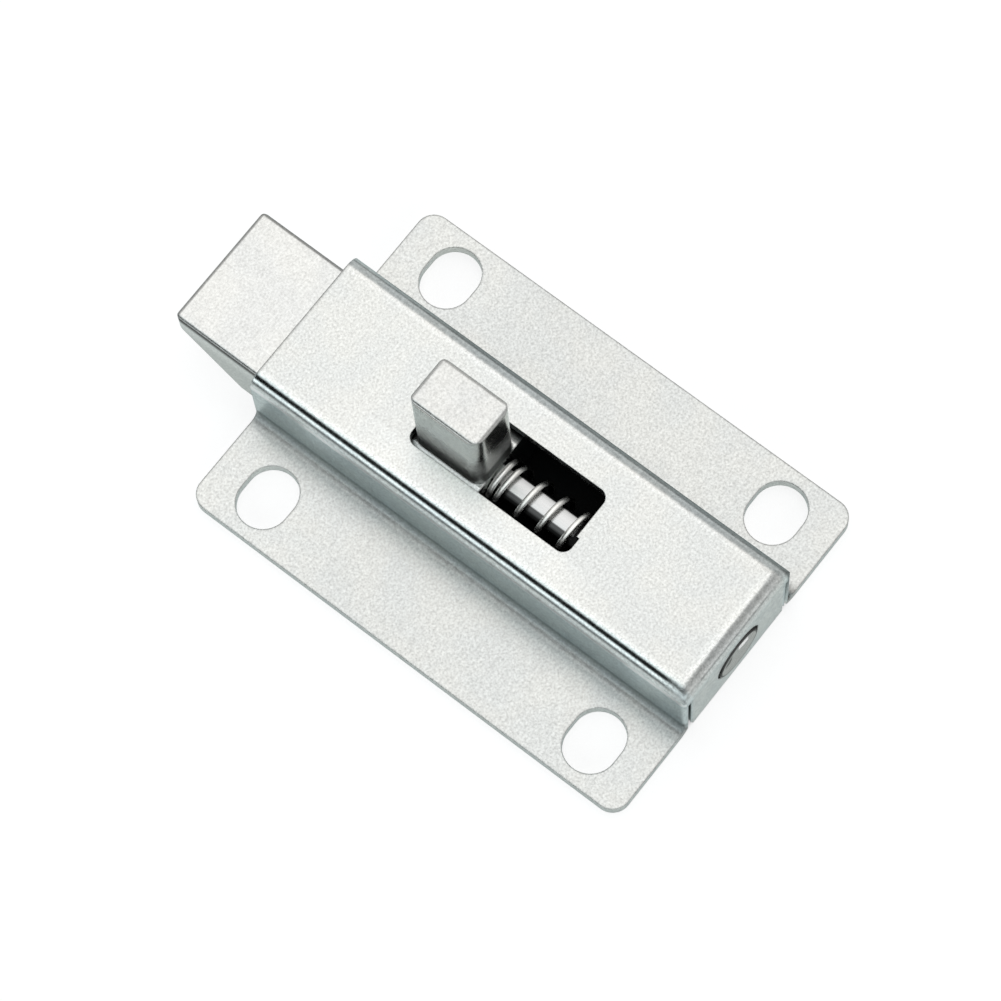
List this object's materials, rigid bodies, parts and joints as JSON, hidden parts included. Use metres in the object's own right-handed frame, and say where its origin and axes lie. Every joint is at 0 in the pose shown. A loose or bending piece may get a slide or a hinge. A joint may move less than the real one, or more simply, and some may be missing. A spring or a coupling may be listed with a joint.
{
  "type": "spring bolt latch",
  "caption": "Surface-mounted spring bolt latch: pressed steel case with slotted screw holes, a bevelled sliding bolt and an upright knob.",
  "frame": {"origin": "centre of the four screw holes, on the mounting face", "axes": "+Y is the way the bolt shoots, +Z points away from the mounting face, X runs across the bolt"},
  "size_m": [0.0362, 0.0603, 0.019],
  "materials": {
    "plated_sheet": "bright zinc plate, fine mottled grain",
    "plated_casting": "bright zinc plate on a smooth casting",
    "plated_pin": "bright drawn steel",
    "spring_wire": "bright spring wire"
  },
  "bodies": {
    "case": {"case": "plated_sheet", "guide_pin": "plated_pin", "spring": "spring_wire"},
    "bolt": {"bolt": "plated_casting"}
  },
  "joints": [
    {"name": "bolt_slide", "type": "slide", "parent": "case", "child": "bolt", "axis": [0, -1, 0], "range_m": [0, 0.01], "stiffness_N_per_m": 1600, "springref_m": -0.002, "deforming": ["spring"]}
  ]
}
